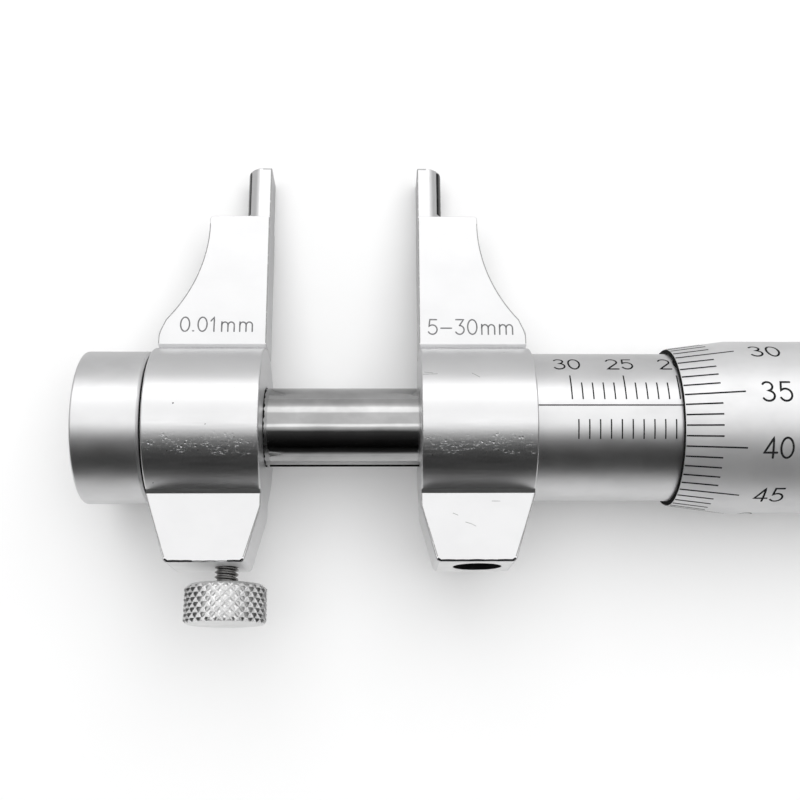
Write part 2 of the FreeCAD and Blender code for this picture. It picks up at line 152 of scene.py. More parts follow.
# Scale
largest_reading = 30
smallest_reading = 5
first_mark_gap = 3.2
thimble_marks = 50
reading_at_index = 36
index_turn = 0.029
thimble_turn = 0.017
sleeve_line_width = 0.125
thimble_line_width = 0.155
number_width = 0.17
thimble_number_width = 0.2
word_width = 0.14

# Wear, and painted shade
pit_width = 0.05
scratch_width = 0.05
shade_width = 0.09
keyway_shade_width = 0.2

# Where the tool lies in the row's frame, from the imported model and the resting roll
blade_back = blade_thickness / 2
rest_roll = (
    math.asin(thimble_radius / math.hypot(jaw_reach, blade_back)) - math.atan(blade_back / jaw_reach)
)
sleeve_low, sleeve_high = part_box("sleeve")
inner_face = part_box("fixed_jaw")[0][0]
axis_y = (sleeve_low[1] + sleeve_high[1]) / 2
axis_z = (sleeve_low[2] + sleeve_high[2]) / 2
to_row = (
    Matrix.Translation((inner_face, axis_y, axis_z))
    @ Matrix.Rotation(-rest_roll, 4, "X")
    @ Matrix.Scale(MM, 4)
)


def along(node):
    """Where a node starts and ends along the instrument's axis, in millimetres."""
    low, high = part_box(node)
    return (low[0] - inner_face) / MM, (high[0] - inner_face) / MM


opening = -along("movable_jaw")[1]
cap_start, cap_end = along("end_cap")
tube_start, tube_end = along("guide_tube")
sleeve_start, sleeve_end = along("sleeve")
thimble_start, thimble_end = along("thimble")
knob_start, knob_end = along("ratchet_knob")
screw_start, screw_end = along("ratchet_screw")
key_place = hub_length / 2
lock_place = -opening - lock_offset
cone_end = thimble_start + thimble_cone_length
thimble_front = thimble_start + thimble_wear
floor_of_keyway = tube_radius - keyway_depth
hub_end = -opening - hub_length
skirt_top = plate_foot + skirt_height

ROUND = 192
SMOOTH_ANGLE = math.radians(28)
CUT_OVER = 1.0
DENT_DEPTH = 0.03
MARK_DEPTH = 0.03
MARK_LIFT = 0.008


# Mesh building

def ring_point(x, radius, angle):
    """A place round the X axis, at an angle from +Z towards +Y."""
    return (x, radius * math.sin(angle), radius * math.cos(angle))


def eased(corners, steps=4):
    """A closed outline whose corners with a third value are rounded to that radius."""
    points = []
    count = len(corners)
    for index, corner in enumerate(corners):
        here = Vector(corner[:2])
        radius = corner[2] if len(corner) > 2 else 0
        if radius == 0:
            points.append(tuple(here))
            continue
        before = (Vector(corners[index - 1][:2]) - here).normalized()
        after = (Vector(corners[(index + 1) % count][:2]) - here).normalized()
        half = before.angle(after) / 2
        reach = radius / math.tan(half)
        centre = here + (before + after).normalized() * radius / math.sin(half)
        start, end = here + before * reach, here + after * reach
        for step in range(steps + 1):
            blend = start.lerp(end, step / steps) - centre
            points.append(tuple(centre + blend.normalized() * radius))
    return points


def bridge(mesh, near, far):
    """Faces between two closed rings of points, one of which may be a single point."""
    count = max(len(near), len(far))
    for index in range(count):
        after = (index + 1) % count
        corners = [near[index % len(near)], near[after % len(near)]]
        corners += [far[after % len(far)], far[index % len(far)]]
        mesh.faces.new(list(dict.fromkeys(corners)))


def facing_out(mesh):
    bmesh.ops.recalc_face_normals(mesh, faces=mesh.faces)
    return mesh


def turned(profile, segments=ROUND):
    """A closed solid of revolution about X from a closed ring of (x, radius) corners."""
    mesh = bmesh.new()
    rings = []
    for x, radius in profile:
        # A corner on the axis is a single point
        count = segments if radius > 0 else 1
        angles = [2 * math.pi * index / segments for index in range(count)]
        rings.append([mesh.verts.new(ring_point(x, radius, angle)) for angle in angles])
    for near, far in zip(rings, rings[1:] + rings[:1]):
        if len(near) + len(far) > 2:
            bridge(mesh, near, far)
    return facing_out(mesh)


def rod(start, end, radius, segments=ROUND):
    return turned([(start, 0), (start, radius), (end, radius), (end, 0)], segments)


def collar(start, end, inner, outer, segments=ROUND):
    """A plain ring about X between two radii."""
    return turned([(start, inner), (start, outer), (end, outer), (end, inner)], segments)


def block(x_low, x_high, y_low, y_high, z_low, z_high):
    mesh = bmesh.new()
    bmesh.ops.create_cube(mesh, size=1)
    size = Matrix.Diagonal((x_high - x_low, y_high - y_low, z_high - z_low, 1))
    middle = ((x_low + x_high) / 2, (y_low + y_high) / 2, (z_low + z_high) / 2)
    mesh.transform(Matrix.Translation(middle) @ size)
    return mesh


def prism(outline, start, end, ease=0, eased_ends="both"):
    """An XY outline made solid from one height to another, with its rims rounded."""
    mesh = bmesh.new()
    outline = eased(outline)
    lower = [mesh.verts.new((x, y, start)) for x, y in outline]
    upper = [mesh.verts.new((x, y, end)) for x, y in outline]
    mesh.faces.new(lower[::-1])
    mesh.faces.new(upper)
    bridge(mesh, lower, upper)
    facing_out(mesh)
    if ease:
        rims = []
        for edge in mesh.edges:
            heights = {round(vert.co.z, 6) for vert in edge.verts}
            if len(heights) == 1 and (eased_ends == "both" or round(end, 6) in heights):
                rims.append(edge)
        bmesh.ops.bevel(
            mesh, geom=rims, offset=ease, segments=3, profile=0.5, affect="EDGES",
            clamp_overlap=True,
        )
    return mesh


def moved(mesh, matrix):
    mesh.transform(matrix)
    if matrix.determinant() < 0:
        bmesh.ops.reverse_faces(mesh, faces=mesh.faces)
    return mesh


def down_along(mesh, x):
    """What is drawn along +X is stood along -Y, with its X = 0 on the axis at this place."""
    return moved(mesh, Matrix.Translation((x, 0, 0)) @ Matrix.Rotation(-math.pi / 2, 4, "Z"))


def placed(name, data):
    thing = bpy.data.objects.new(name, data)
    bpy.context.scene.collection.objects.link(thing)
    return thing


def temporary(mesh):
    data = bpy.data.meshes.new("temporary")
    mesh.to_mesh(data)
    mesh.free()
    return placed("temporary", data)


def combined(base, *steps):
    """The base mesh after a row of (operation, mesh) steps: UNION, DIFFERENCE or INTERSECT."""
    things = [temporary(base)]
    for operation, tool in steps:
        things.append(temporary(tool))
        modifier = things[0].modifiers.new(operation, "BOOLEAN")
        modifier.operation = operation
        modifier.solver = "EXACT"
        modifier.object = things[-1]
    bpy.context.view_layer.update()
    result = bmesh.new()
    result.from_object(things[0], bpy.context.evaluated_depsgraph_get())
    for thing in things:
        data = thing.data
        bpy.data.objects.remove(thing)
        bpy.data.meshes.remove(data)
    bmesh.ops.remove_doubles(result, verts=result.verts, dist=1e-5)
    return result


def piece(name, mesh, material, body, replaced=(), second=None, is_second=None):
    """A finished piece in the row's frame, smooth but for its edges, riding on a body."""
    if second:
        mesh.normal_update()
        for face in mesh.faces:
            face.material_index = int(is_second(face))
    mesh.transform(to_row)
    data = bpy.data.meshes.new(name)
    mesh.to_mesh(data)
    mesh.free()
    for face in data.polygons:
        face.use_smooth = True
    data.set_sharp_from_angle(angle=SMOOTH_ANGLE)
    data.materials.append(material)
    if second:
        data.materials.append(second)
    thing = placed(name, data)
    thing.modifiers.new("normals", "WEIGHTED_NORMAL").keep_sharp = True
    if replaced:
        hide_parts(*replaced)
    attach(thing, body)


# Materials: places in millimetres feed noise, and wear comes from colour, roughness and bump

def grey(value):
    return (value, value, value)


class Nodes:
    """A small helper around a node tree."""

    def __init__(self, tree):
        self.tree = tree

    def fill(self, socket, value):
        """Gives a socket another node's output or a plain value."""
        if isinstance(value, bpy.types.NodeSocket):
            self.tree.links.new(value, socket)
        elif socket.type == "RGBA":
            socket.default_value = (*value, 1)
        else:
            socket.default_value = value

    def add(self, kind, inputs=None, **settings):
        """A new node with its settings, and its inputs by name or number."""
        node = self.tree.nodes.new("ShaderNode" + kind)
        for name, value in settings.items():
            setattr(node, name, value)
        for key, value in (inputs or {}).items():
            self.fill(node.inputs[key], value)
        return node

    def ranged(self, value, low, high, to_low, to_high, interpolation="SMOOTHSTEP"):
        inputs = {
            "Value": value, "From Min": low, "From Max": high, "To Min": to_low, "To Max": to_high,
        }
        return self.add("MapRange", inputs, interpolation_type=interpolation).outputs["Result"]

    def math(self, operation, first, second=0):
        return self.add("Math", {0: first, 1: second}, operation=operation).outputs["Value"]

    def mixed(self, factor, first, second):
        inputs = {"Factor": factor, "A": first, "B": second}
        return self.add("Mix", inputs, data_type="RGBA").outputs["Result"]

    def blended(self, factor, first, second):
        """One shader turning into another as the factor goes from 0 to 1."""
        inputs = {"Fac": factor, 1: first.outputs[0], 2: second.outputs[0]}
        return self.add("MixShader", inputs)


class Look(Nodes):
    """The nodes of a new material, with places on the piece in millimetres."""

    def __init__(self, name):
        self.material = bpy.data.materials.new(name)
        self.material.use_nodes = True
        super().__init__(self.material.node_tree)
        self.shader = self.tree.nodes["Principled BSDF"]
        self.place = self.add("TexCoord").outputs["Object"]
        self.place = self.stretched((1 / MM,) * 3)

    def stretched(self, factors):
        return self.add("Mapping", {"Vector": self.place, "Scale": factors}).outputs["Vector"]

    def noise(self, factors, detail=4.0, roughness=0.55):
        """Noise with this many features a millimetre along each axis."""
        inputs = {
            "Vector": self.stretched(factors), "Scale": 1.0, "Detail": detail, "Roughness": roughness,
        }
        return self.add("TexNoise", inputs).outputs["Fac"]

    def bumped(self, height, distance, previous=None):
        inputs = {"Height": height, "Distance": distance * MM}
        if previous:
            inputs["Normal"] = previous
        return self.add("Bump", inputs).outputs["Normal"]

    def pits(self, per_millimetre, share, size):
        """Small spots where the value is 1. A share of the cells hold one each."""
        place = self.stretched((per_millimetre,) * 3)
        cells = self.add("TexVoronoi", {"Vector": place, "Scale": 1.0}).outputs
        near = self.ranged(cells["Distance"], size * 0.4, size, 1, 0)
        colour = self.add("SeparateColor", {"Color": cells["Color"]}).outputs
        return self.math("MULTIPLY", near, self.math("LESS_THAN", colour["Red"], share))

    def scuffs(self, low, high):
        """Short scratches and dents in a band between two heights along Y."""
        height = self.add("SeparateXYZ", {0: self.place}).outputs["Y"]
        soft_edge = 0.7
        rise = self.ranged(height, low - soft_edge, low + soft_edge, 0, 1)
        fall = self.ranged(height, high - soft_edge, high + soft_edge, 1, 0)
        lines = self.ranged(self.noise((2.2, 8, 8), 5.0, 0.7), 0.57, 0.65, 0, 1)
        patches = self.ranged(self.noise((0.5, 0.9, 0.9), 3.0), 0.44, 0.6, 0.1, 1)
        marks = self.math("ADD", lines, self.pits(3.0, 0.3, 0.4))
        marks = self.math("MULTIPLY", marks, patches)
        return self.math("MULTIPLY", marks, self.math("MULTIPLY", rise, fall))


def metal(name, colour, roughness, spread=0.04, satin=0.0, lay=(0.4, 0.4, 0.4), lines=0.0,
          pit_share=0.0, stain=0.08, metallic=1.0, waves=0.0, worn=None):
    """A metal whose tone, gloss and surface vary a little from place to place.

    Satin, lines and waves are heights in millimetres of a fine grain, of marks along the lay
    and of a slow unevenness. Where worn gives two heights along Y, the band between is scuffed.
    """
    nodes = Look(name)
    sockets = nodes.shader.inputs
    fine = nodes.noise(lay, 5.0, 0.6)
    shade = tuple(value * (1 - stain) for value in colour)
    clouds = nodes.ranged(nodes.noise((0.22, 0.3, 0.3), 3.0), 0.35, 0.7, 0, 1)
    tone = nodes.mixed(clouds, colour, shade)
    gloss = nodes.ranged(fine, 0.3, 0.7, roughness - spread, roughness + spread)
    normal = None
    if satin:
        normal = nodes.bumped(nodes.noise((14, 14, 14), 2.0), satin)
    if lines:
        normal = nodes.bumped(fine, lines, normal)
    if waves:
        normal = nodes.bumped(nodes.noise((0.16, 0.7, 0.7), 2.0), waves, normal)
    if worn:
        scuffs = nodes.scuffs(*worn)
        normal = nodes.bumped(scuffs, -DENT_DEPTH, normal)
        tone = nodes.mixed(nodes.ranged(scuffs, 0.3, 1.6, 0, 0.5), tone, grey(0.25))
    if pit_share:
        spots = nodes.pits(1.1, pit_share, 0.11)
        normal = nodes.bumped(spots, -DENT_DEPTH, normal)
        tone = nodes.mixed(nodes.ranged(spots, 0.5, 1, 0, 0.75), tone, grey(0.12))
    sockets["Metallic"].default_value = metallic
    nodes.fill(sockets["Base Color"], tone)
    nodes.fill(sockets["Roughness"], gloss)
    if normal:
        nodes.fill(sockets["Normal"], normal)
    return nodes.material


chrome = (0.72, 0.72, 0.725)
worn_band = (axis_y / MM - 2.3, axis_y / MM - 0.9)
satin_chrome = metal("satin_chrome", chrome, 0.38, 0.02, satin=0.001)
thimble_chrome = metal(
    "thimble_chrome", (0.76, 0.76, 0.765), 0.52, 0.02, satin=0.001, metallic=0.85
)
jaw_chrome = metal(
    "jaw_chrome", chrome, 0.34, 0.03, satin=0.0005, lay=(0.25, 5, 5), lines=0.0012, pit_share=0.03,
    stain=0.03, worn=worn_band,
)
knurled_chrome = metal("knurled_chrome", grey(0.86), 0.36, 0.05, satin=0.002, stain=0.12)
polished_steel = metal(
    "polished_steel", grey(0.44), 0.07, 0.03, lay=(0.5, 3, 3), lines=0.0012, pit_share=0.03,
    stain=0.2, waves=0.012,
)
milled_steel = metal("milled_steel", grey(0.8), 0.45, 0.04, satin=0.001, metallic=0.2)
plain_steel = metal("plain_steel", (0.55, 0.55, 0.56), 0.3, 0.06, satin=0.0012)
thread_steel = metal("thread_steel", (0.25, 0.245, 0.24), 0.3, 0.06, satin=0.002, stain=0.4)
hard_metal = metal("hard_metal", (0.025, 0.025, 0.026), 0.16, 0.03, satin=0.0006)
blasted_chrome = metal("blasted_chrome", grey(0.93), 0.5, 0.03, satin=0.004, metallic=0.4)
bronze = metal("bronze", (0.68, 0.5, 0.28), 0.3, 0.05, satin=0.001)


def ink(name, colour, worn):
    """The blackening in an engraved mark, a little thin in places."""
    nodes = Look(name)
    wear = nodes.ranged(nodes.noise((3, 3, 3)), 0.5, 0.75, 0, 1)
    nodes.fill(nodes.shader.inputs["Base Color"], nodes.mixed(wear, colour, worn))
    nodes.shader.inputs["Roughness"].default_value = 0.8
    nodes.shader.inputs["Specular IOR Level"].default_value = 0.1
    return nodes.material


black_ink = ink("black_ink", (0.012, 0.012, 0.013), grey(0.04))
grey_ink = ink("grey_ink", (0.17, 0.17, 0.175), grey(0.25))
# A grey for scratch marks, and for painted shade along the jaws' edges
scratch_and_shade_grey = ink("scratch_and_shade_grey", grey(0.3), grey(0.5))
# Near black: painted shade in gaps, a recess and the keyway, and a dark band round the tube's root
near_black = ink("near_black", grey(0.006), grey(0.02))
black_oxide = ink("black_oxide", grey(0.01), grey(0.05))


# The two jaws share one form, drawn on the fixed side with X as the distance out

def waist(steps=28):
    """The curved outer edge of the plate, from the shoulder down to the skirt."""
    centre_x, centre_y = shoulder_width + waist_radius, shoulder_reach - waist_drop
    sweep = math.acos((centre_x - plate_width + skirt_height / 2) / waist_radius)
    turns = [sweep * step / steps for step in range(steps + 1)]
    return [
        (centre_x - waist_radius * math.cos(turn), centre_y - waist_radius * math.sin(turn))
        for turn in turns
    ]


def plate():
    outline = [
        (0, plate_foot), (plate_width, plate_foot), (plate_width, skirt_top, 0.6), *waist()[::-1],
        (shoulder_width, shoulder_reach, 0.3), (0, shoulder_reach),
    ]
    return prism(outline, -plate_front, plate_front, plate_edge)


def blade_face():
    """Where the blade's rounded measuring face has its centre, and its radius."""
    half = blade_thickness / 2
    centre = (blade_width**2 - blade_flat**2 - half**2) / (2 * (blade_width - blade_flat))
    return centre, blade_width - centre


def blade():
    """The narrow blade with its rounded measuring face, standing along Y."""
    half = blade_thickness / 2
    centre, radius = blade_face()
    turn = math.asin(half / radius)
    steps = 20
    angles = [turn * (2 * step / steps - 1) for step in range(1, steps)]
    curve = [(centre + radius * math.cos(angle), radius * math.sin(angle)) for angle in angles]
    section = [
        (0, -half, 0.1), (blade_flat, -half), *curve, (blade_flat, half), (0, half, 0.1),
    ]
    mesh = prism(section, shoulder_reach - blade_width, jaw_reach, blade_edge, "end")
    stand = Matrix(((1, 0, 0, 0), (0, 0, 1, 0), (0, 1, 0, 0), (0, 0, 0, 1)))
    return moved(mesh, stand)


def tip_bed():
    foot = shoulder_reach + tip_foot_gap
    return block(
        blade_width - tip_depth, blade_width + CUT_OVER, foot, jaw_reach + CUT_OVER,
        -tip_width / 2, tip_width / 2,
    )


def lug():
    outline = [
        (0, 0), (0, -hub_radius - lug_straight), (lug_inner_inset, -lug_reach, lug_corner_radius),
        (hub_length - lug_outer_inset, -lug_reach, lug_corner_radius),
        (hub_length, -hub_radius + lug_straight), (hub_length, 0),
    ]
    return prism(outline, -lug_thickness / 2, lug_thickness / 2, lug_edge)


def fillets():
    """Beads along X where the plate's foot and the lug's faces leave the hub, front and back."""
    half = lug_thickness / 2
    plate_bead = [
        (plate_foot, plate_front), (plate_foot - 0.25, plate_front - 0.35), (6.9, 1.5), (8, 1.5),
    ]
    lug_bead = [(-6.86, half + 0.206), (-7.22, half), (-7.22, half - 0.4), (-6.4, half - 0.4)]
    stand = Matrix(((0, 0, 1, 0), (1, 0, 0, 0), (0, 1, 0, 0), (0, 0, 0, 1)))
    end_gap = 0.05
    beads = []
    for outline, length in ((plate_bead, plate_width), (lug_bead, hub_length)):
        for side in (1, -1):
            mesh = prism([(y, side * z) for y, z in outline], end_gap, length - end_gap)
            beads.append(("UNION", moved(mesh, stand)))
    return beads


def hub(extra=()):
    """The round body of a jaw. The extra corners are those of a spigot behind it."""
    back = extra or [(hub_length, bore_radius)]
    return turned(eased([
        (0, bore_radius + bore_mouth), (0, hub_radius, hub_edge),
        (hub_length, hub_radius, hub_edge), *back, (bore_mouth, bore_radius),
    ]))


def jaw(spigot=()):
    return combined(
        hub(spigot), ("UNION", plate()), ("UNION", blade()), ("UNION", lug()), *fillets(),
        ("DIFFERENCE", tip_bed()), ("DIFFERENCE", rod(-CUT_OVER, hub_length - 1, bore_radius)),
    )


def is_lug_foot(face):
    return face.normal.y < -0.9 and face.calc_center_median().y < 0.1 - lug_reach


def tip():
    return combined(blade(), ("INTERSECT", tip_bed()))


def add_jaw(name, body, mesh, strip):
    piece(
        name + "_jaw_body", mesh, jaw_chrome, body, [name + "_jaw"], second=blasted_chrome,
        is_second=is_lug_foot,
    )
    piece(name + "_measuring_strip", strip, hard_metal, body, [name + "_jaw_tip"])


def add_jaws():
    hole_top = lug_reach - key_screw_recess - key_screw_length
    screw_hole = down_along(rod(hole_top, lug_reach + CUT_OVER, key_screw_radius), key_place)
    add_jaw("fixed", "fixed_side", combined(jaw(), ("DIFFERENCE", screw_hole)), tip())
    spigot_end = -opening - cap_start - spigot_gap
    spigot = [(hub_length, spigot_radius), (spigot_end, spigot_radius), (spigot_end, bore_radius)]
    lock_hole = down_along(rod(0, lug_reach + CUT_OVER, lock_screw_radius), lock_offset)
    over = Matrix.Translation((-opening, 0, 0)) @ Matrix.Scale(-1, 4, (1, 0, 0))
    movable = combined(jaw(spigot), ("DIFFERENCE", lock_hole))
    add_jaw("movable", "jaw_carriage", moved(movable, over), moved(tip(), over))


def slotted(screw, end, radius, depth, width):
    """A screw along X with a straight slot across its end."""
    slot = block(end - depth, end + CUT_OVER, -2 * radius, 2 * radius, -width / 2, width / 2)
    return combined(screw, ("DIFFERENCE", slot))


def add_key_screw():
    bottom = lug_reach - key_screw_recess
    top = bottom - key_screw_length
    dog_tip = floor_of_keyway + 0.1
    radius = key_screw_radius - 0.02
    screw = turned(eased([
        (dog_tip, 0), (dog_tip, dog_radius, 0.1), (top, dog_radius), (top, radius),
        (bottom, radius, 0.3), (bottom, 0),
    ]))
    screw = slotted(screw, bottom, key_screw_radius, key_slot_depth, key_slot_width)
    screw = down_along(screw, key_place)
    piece("key_screw_body", screw, black_oxide, "fixed_side", ["guide_key_screw"])


# The turned pieces along the axis

def is_keyway_wall(face):
    return abs(face.normal.z) > 0.99 and face.calc_center_median().y < -floor_of_keyway


def add_guide_tube():
    tube = collar(tube_start, tube_end, tube_bore_radius, tube_radius)
    keyway_start = -opening
    travel = largest_reading - smallest_reading
    keyway_end = keyway_start + key_place + travel + dog_radius + keyway_margin
    half = keyway_width / 2
    keyway = block(keyway_start, keyway_end, -tube_radius - CUT_OVER, -floor_of_keyway, -half, half)
    tube = combined(tube, ("DIFFERENCE", keyway))
    piece(
        "guide_tube_body", tube, polished_steel, "jaw_carriage", ["guide_tube"],
        milled_steel, is_keyway_wall,
    )
    # Painted shade: a black line along the outer edge of the keyway's wall
    line = bmesh.new()
    height = 0.11 - math.sqrt(tube_radius**2 - half**2)
    path = [(keyway_start + 0.3, height), (keyway_end - 0.3, height)]
    stroke(line, path, keyway_shade_width, on_flat(-half), False)
    piece("keyway_painted_shade", line, near_black, "jaw_carriage")


def add_end_cap():
    rim_end = (cap_end + hub_end) / 2
    cap = turned(eased([
        (cap_start, 0), (cap_start, cap_radius, cap_edge), (cap_end, cap_radius, 0.1),
        (rim_end, cap_radius - cap_rim_drop, 0.05), (rim_end, cap_bore_radius),
        (cap_start + cap_floor, cap_bore_radius), (cap_start + cap_floor, 0),
    ]))
    piece("end_cap_body", cap, satin_chrome, "jaw_carriage", ["end_cap"])


def add_grease():
    """Near-black rings: painted shade in the cap's joint, the thimble's mouth and the key screw's
    recess, and a dark ragged band round the tube's root. Each ring starts and ends a little inside
    what it fills.
    """
    below_rim, into_cap, into_hub = 0.35, 0.3, 0.2
    # Painted shade: a black ring in the gap between the cap and the hub of the movable jaw
    joint = collar(
        cap_end - into_cap, hub_end + into_hub, spigot_radius - into_hub, cap_radius - below_rim
    )
    # Painted shade: a black ring over the thimble's mouth and the rim face round it
    front, step, back = thimble_front - 0.06, thimble_front + 0.03, thimble_start + 0.45
    inner = sleeve_radius + 0.03
    mouth = turned([
        (front, inner), (front, thimble_edge_radius - 0.06), (step, thimble_edge_radius - 0.01),
        (step, thimble_mouth_radius), (back, thimble_bore_radius), (back, inner),
    ])
    # Painted shade: a black lining in the key screw's recess
    recess = collar(
        lug_reach - key_screw_recess, lug_reach - 0.04, key_screw_radius - 0.1,
        key_screw_radius + 0.01,
    )
    # Round the tube's root it is a thin band with a ragged edge
    root = collar(0, 1, tube_radius - MARK_DEPTH, tube_radius + MARK_LIFT, 240)
    for vert in root.verts:
        angle = math.atan2(vert.co.y, vert.co.z)
        ragged = 0.5 + 0.28 * math.sin(23 * angle) + 0.22 * math.sin(41 * angle + 1.3)
        ragged *= 0.75 + 0.25 * math.sin(7 * angle + 0.4)
        vert.co.x = -opening - 0.02 + vert.co.x * (0.05 + 0.2 * ragged)
    for name, mesh, body in (
        ("cap_joint_painted_shade", joint, "jaw_carriage"), ("thimble_mouth_painted_shade", mouth, "spindle_group"),
        ("key_screw_recess_painted_shade", down_along(recess, key_place), "fixed_side"),
        ("tube_root_dark_band", root, "jaw_carriage"),
    ):
        piece(name, mesh, near_black, body)


def add_sleeve():
    sleeve = turned(eased([
        (sleeve_start, sleeve_bore_radius), (sleeve_start, sleeve_radius),
        (sleeve_end, sleeve_radius, 0.15), (sleeve_end, sleeve_bore_radius),
    ]))
    piece("sleeve_body", sleeve, satin_chrome, "fixed_side", ["sleeve"])


def fluted(start, end, radius, count, bore):
    """A ring with rounded straight flutes."""
    mesh = bmesh.new()
    steps = points_per_flute * count
    rings = []
    for x, outside, depth in (
        (start, radius, flute_depth), (end, radius, flute_depth), (end, bore, 0), (start, bore, 0)
    ):
        ring = []
        for index in range(steps):
            angle = 2 * math.pi * index / steps
            dip = depth * (0.5 - 0.5 * math.cos(count * angle)) ** 2
            ring.append(mesh.verts.new(ring_point(x, outside - dip, angle)))
        rings.append(ring)
    for near, far in zip(rings, rings[1:] + rings[:1]):
        bridge(mesh, near, far)
    return facing_out(mesh)


def with_grip(body, start, end, radius, flutes):
    """A turned body with a channel cut round it, and the fluted band that fills the channel."""
    bed = radius - 2 * flute_depth
    cut = combined(body, ("DIFFERENCE", collar(start, end, bed, radius + CUT_OVER)))
    return cut, fluted(start, end, radius, flutes, bed - band_overlap)


def add_thimble():
    cavity_end = thimble_end - thimble_head_length
    body = turned(eased([
        (thimble_start + thimble_mouth_length, thimble_bore_radius),
        (thimble_front, thimble_mouth_radius), (thimble_front, thimble_edge_radius),
        (cone_end, thimble_radius), (thimble_end, thimble_radius, thimble_edge),
        (thimble_end, thimble_hole_radius), (cavity_end, thimble_hole_radius),
        (cavity_end, thimble_bore_radius),
    ]))
    grip_end = thimble_end - grip_margin
    body, grip = with_grip(body, grip_end - grip_length, grip_end, thimble_radius, grip_flutes)
    piece("thimble_body", body, thimble_chrome, "spindle_group", ["thimble"])
    piece("thimble_grip", grip, knurled_chrome, "spindle_group", ["thimble"])


def add_ratchet():
    hub_face = knob_end - knob_lip
    cup_end = hub_face - knob_hub_length
    body = turned(eased([
        (knob_start, knob_inside_radius), (knob_start, knob_radius, knob_edge),
        (knob_end, knob_radius, knob_edge), (knob_end, knob_recess_radius),
        (hub_face, knob_recess_radius), (hub_face, knob_bore_radius), (cup_end, knob_bore_radius),
        (cup_end, knob_inside_radius),
    ]))
    margin = 2 * knob_edge
    body, grip = with_grip(body, knob_start + margin, knob_end - margin, knob_radius, knob_flutes)
    piece("ratchet_knob_body", body, satin_chrome, "knob", ["ratchet_knob"])
    piece("ratchet_knob_grip", grip, knurled_chrome, "knob", ["ratchet_knob"])
    head_start = screw_end - screw_head_length
    screw = turned(eased([
        (screw_start, 0), (screw_start, screw_shank_radius), (head_start, screw_shank_radius),
        (head_start, screw_head_radius), (screw_end, screw_head_radius, 0.3), (screw_end, 0),
    ]))
    screw = slotted(screw, screw_end, screw_head_radius, screw_slot_depth, screw_slot_width)
    piece("ratchet_screw_body", screw, plain_steel, "spindle_group", ["ratchet_screw"])


# The lock screw: a threaded shank and a knurled head

def add_lock_screw():
    top = lug_reach + lock_neck
    bottom = top + lock_knob_length
    step = math.pi * lock_knob_radius / lock_knurl_count
    rows = math.ceil(lock_knob_length / step) + 2
    radius = lock_knob_radius + 0.02
    envelope = turned(eased([
        (top, 0), (top, lock_knob_radius - lock_knob_shoulder, 0.15),
        (top + lock_knob_shoulder, radius, 0.1), (bottom - lock_knob_edge, radius, 0.05),
        (bottom, lock_knob_radius - lock_knob_edge, 0.05), (bottom, 0),
    ]))
    knob = combined(knurl_solid(top - step, step, rows), ("INTERSECT", envelope))
    shank = thread_solid(lock_screw_tip, top + 0.3)
    for name, mesh, material in (
        ("lock_knob", knob, knurled_chrome), ("lock_screw_shank", shank, thread_steel)
    ):
        piece(name, down_along(mesh, lock_place), material, "lock", ["lock_screw"])


def knurl_solid(start, step, rows):
    """A closed drum whose side is a knurl of blunt pyramids, longer than the knob."""
    count = 2 * lock_knurl_count
    mesh = bmesh.new()

    def vert(row, column, radius):
        angle = 2 * math.pi * column / count
        return mesh.verts.new(ring_point(start + row * step, radius, angle))

    # Grooves cross where row and column are both even or both odd, and tops lie between
    crossings = {}
    tops = []
    for row in range(rows + 1):
        for column in range(count):
            if (row + column) % 2:
                tops.append((row, column))
            else:
                crossings[row, column] = vert(row, column, lock_knob_radius - lock_knurl_depth)
    share = lock_knurl_top
    for row, column in tops:
        bed, crest = [], []
        for row_step, column_step in ((0, 1), (1, 0), (0, -1), (-1, 0)):
            if row + row_step not in range(rows + 1):
                continue
            bed.append(crossings[row + row_step, (column + column_step) % count])
            crest.append(vert(row + row_step * share, column + column_step * share, lock_knob_radius))
        mesh.faces.new(crest)
        bridge(mesh, bed, crest)
    for row in (0, rows):
        centre = mesh.verts.new((start + row * step, 0, 0))
        rim = [crossings[row, column] for column in range(count) if (row + column) % 2 == 0]
        bridge(mesh, rim, [centre])
    return facing_out(mesh)


def thread_solid(start, end):
    """A closed threaded rod along X with a V thread, trimmed square at both ends."""
    # Each turn's root and crest: the share of the pitch, and the share of the thread's depth
    shape = ((0.0, 0.0), (0.25, 0.0), (0.5, 1.0), (0.75, 1.0))
    segments = 48
    pitch = lock_thread_pitch
    turns = math.ceil((end - start) / pitch) + 2
    mesh = bmesh.new()
    rows = []
    for turn in range(turns):
        for share, rise in shape:
            radius = lock_screw_radius - lock_thread_depth * (1 - rise)
            row = []
            for index in range(segments + 1):
                x = start + (turn - 1 + share + index / segments) * pitch
                row.append(mesh.verts.new(ring_point(x, radius, 2 * math.pi * index / segments)))
            rows.append(row)
    for near, far in zip(rows, rows[1:]):
        for index in range(segments):
            mesh.faces.new((near[index], near[index + 1], far[index + 1], far[index]))
    # Each turn's last point is the next turn's first
    bmesh.ops.remove_doubles(mesh, verts=mesh.verts, dist=1e-6)
    loops = [edge for edge in mesh.edges if edge.is_boundary]
    bmesh.ops.holes_fill(mesh, edges=loops, sides=0)
    bmesh.ops.triangulate(mesh, faces=[face for face in mesh.faces if len(face.verts) > 4])
    trim = rod(start, end, lock_screw_radius + CUT_OVER, segments)
    return combined(facing_out(mesh), ("INTERSECT", trim))


# Marks: thin strips let into the surface, laid out flat as (along, around) and then wrapped

def on_cylinder(radius):
    def wrap(u, v, lift):
        return ring_point(u, radius + lift, v / radius)
    return wrap


def on_thimble(u, v, lift):
    """Here v is the distance round the thimble's full radius."""
    share = min(1, (u - thimble_start) / thimble_cone_length)
    radius = thimble_edge_radius + share * (thimble_radius - thimble_edge_radius)
    return ring_point(u, radius + lift, v / thimble_radius)


